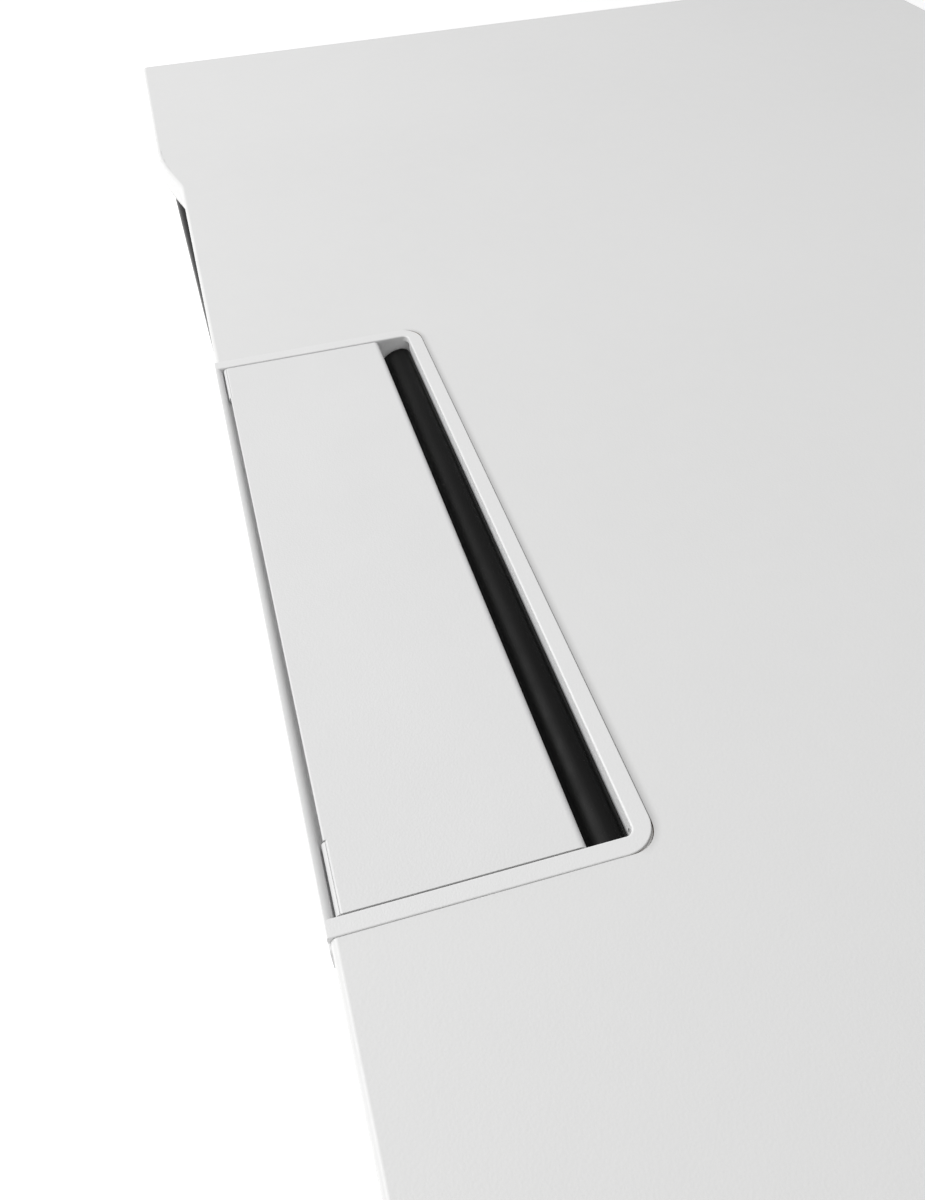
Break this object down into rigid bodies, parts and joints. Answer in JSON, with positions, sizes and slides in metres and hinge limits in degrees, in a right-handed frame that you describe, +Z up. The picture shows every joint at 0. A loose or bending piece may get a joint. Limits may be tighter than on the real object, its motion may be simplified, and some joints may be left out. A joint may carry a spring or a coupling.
{
  "type": "office desk with cable hatch",
  "caption": "Flat-topped office desk with a bay in its rear edge, a flip-up cable hatch over a cable tray, and levelling feet.",
  "frame": {"origin": "on the floor, under the middle of the desk top", "axes": "+X along the desk to the user's right as seen from the front, +Y to the rear edge with the hatch, +Z up"},
  "size_m": [1.5, 0.8, 0.7406],
  "materials": {
    "worktop": "fine-textured melamine, light grey-white",
    "edge_band": "satin white edge band",
    "hatch_plastic": "satin moulded plastic",
    "lid_plastic": "fine-textured moulded plastic",
    "rubber": "smooth satin rubber",
    "aluminium_bar": "mill finish",
    "zinc_steel": "bright zinc plate",
    "leg_steel": "satin black powder coat",
    "tray_steel": "light grey powder coat",
    "black_plastic": "moulded, fine grain"
  },
  "bodies": {
    "desk": {"worktop_board": "worktop", "edge_band_front": "edge_band", "edge_band_left": "edge_band", "edge_band_right": "edge_band", "edge_band_rear_left": "edge_band", "edge_band_rear_right": "edge_band", "hatch_frame": "hatch_plastic", "lid_hinge_pin_left": "zinc_steel", "lid_hinge_pin_right": "zinc_steel", "cable_lip": "rubber", "lip_clamp_bar": "aluminium_bar", "lip_clamp_screws": "zinc_steel", "hatch_frame_screws": "zinc_steel", "lid_bumpers": "rubber", "cable_tray": "tray_steel", "tray_strap_left": "tray_steel", "tray_strap_right": "tray_steel", "tray_rivets": "zinc_steel", "tray_screws": "zinc_steel", "end_rail_left": "leg_steel", "end_rail_right": "leg_steel", "long_rail_front": "leg_steel", "long_rail_rear": "leg_steel", "rail_end_plates_front": "leg_steel", "rail_end_plates_rear": "leg_steel", "rivet_nuts": "zinc_steel", "rail_bolts": "zinc_steel", "end_rail_lug_left_front": "leg_steel", "end_rail_lug_left_rear": "leg_steel", "end_rail_lug_right_front": "leg_steel", "end_rail_lug_right_rear": "leg_steel", "long_rail_lug_front_left": "leg_steel", "long_rail_lug_front_right": "leg_steel", "long_rail_lug_rear_left": "leg_steel", "long_rail_lug_rear_right": "leg_steel", "worktop_screws": "zinc_steel", "leg_front_left": "leg_steel", "leg_front_right": "leg_steel", "leg_rear_left": "leg_steel", "leg_rear_right": "leg_steel", "foot_plug_front_left": "black_plastic", "foot_plug_front_right": "black_plastic", "foot_plug_rear_left": "black_plastic", "foot_plug_rear_right": "black_plastic"},
    "lid": {"hatch_lid": "lid_plastic"},
    "pad_front_left": {"foot_pad_front_left": "black_plastic"},
    "stem_front_left": {"foot_stem_front_left": "zinc_steel"},
    "pad_front_right": {"foot_pad_front_right": "black_plastic"},
    "stem_front_right": {"foot_stem_front_right": "zinc_steel"},
    "pad_rear_left": {"foot_pad_rear_left": "black_plastic"},
    "stem_rear_left": {"foot_stem_rear_left": "zinc_steel"},
    "pad_rear_right": {"foot_pad_rear_right": "black_plastic"},
    "stem_rear_right": {"foot_stem_rear_right": "zinc_steel"}
  },
  "joints": [
    {"name": "lid_hinge", "type": "hinge", "parent": "desk", "child": "lid", "pos_m": [0, 0.3804, 0.7375], "axis": [-1, 0, 0], "range_deg": [0, 100]},
    {"name": "foot_height_front_left", "type": "slide", "parent": "desk", "child": "pad_front_left", "axis": [0, 0, -1], "range_m": [0, 0.013]},
    {"name": "foot_turn_front_left", "type": "hinge", "parent": "pad_front_left", "child": "stem_front_left", "pos_m": [-0.724, -0.374, 0.0095], "axis": [0, 0, -1], "range_deg": [0, 2880]},
    {"name": "foot_height_front_right", "type": "slide", "parent": "desk", "child": "pad_front_right", "axis": [0, 0, -1], "range_m": [0, 0.013]},
    {"name": "foot_turn_front_right", "type": "hinge", "parent": "pad_front_right", "child": "stem_front_right", "pos_m": [0.724, -0.374, 0.0095], "axis": [0, 0, -1], "range_deg": [0, 2880]},
    {"name": "foot_height_rear_left", "type": "slide", "parent": "desk", "child": "pad_rear_left", "axis": [0, 0, -1], "range_m": [0, 0.013]},
    {"name": "foot_turn_rear_left", "type": "hinge", "parent": "pad_rear_left", "child": "stem_rear_left", "pos_m": [-0.724, 0.374, 0.0095], "axis": [0, 0, -1], "range_deg": [0, 2880]},
    {"name": "foot_height_rear_right", "type": "slide", "parent": "desk", "child": "pad_rear_right", "axis": [0, 0, -1], "range_m": [0, 0.013]},
    {"name": "foot_turn_rear_right", "type": "hinge", "parent": "pad_rear_right", "child": "stem_rear_right", "pos_m": [0.724, 0.374, 0.0095], "axis": [0, 0, -1], "range_deg": [0, 2880]}
  ],
  "couplings": [
    {"joint": "foot_height_front_left", "follows": "foot_turn_front_left", "m_per_rad": 0.00023873},
    {"joint": "foot_height_front_right", "follows": "foot_turn_front_right", "m_per_rad": 0.00023873},
    {"joint": "foot_height_rear_left", "follows": "foot_turn_rear_left", "m_per_rad": 0.00023873},
    {"joint": "foot_height_rear_right", "follows": "foot_turn_rear_right", "m_per_rad": 0.00023873}
  ]
}
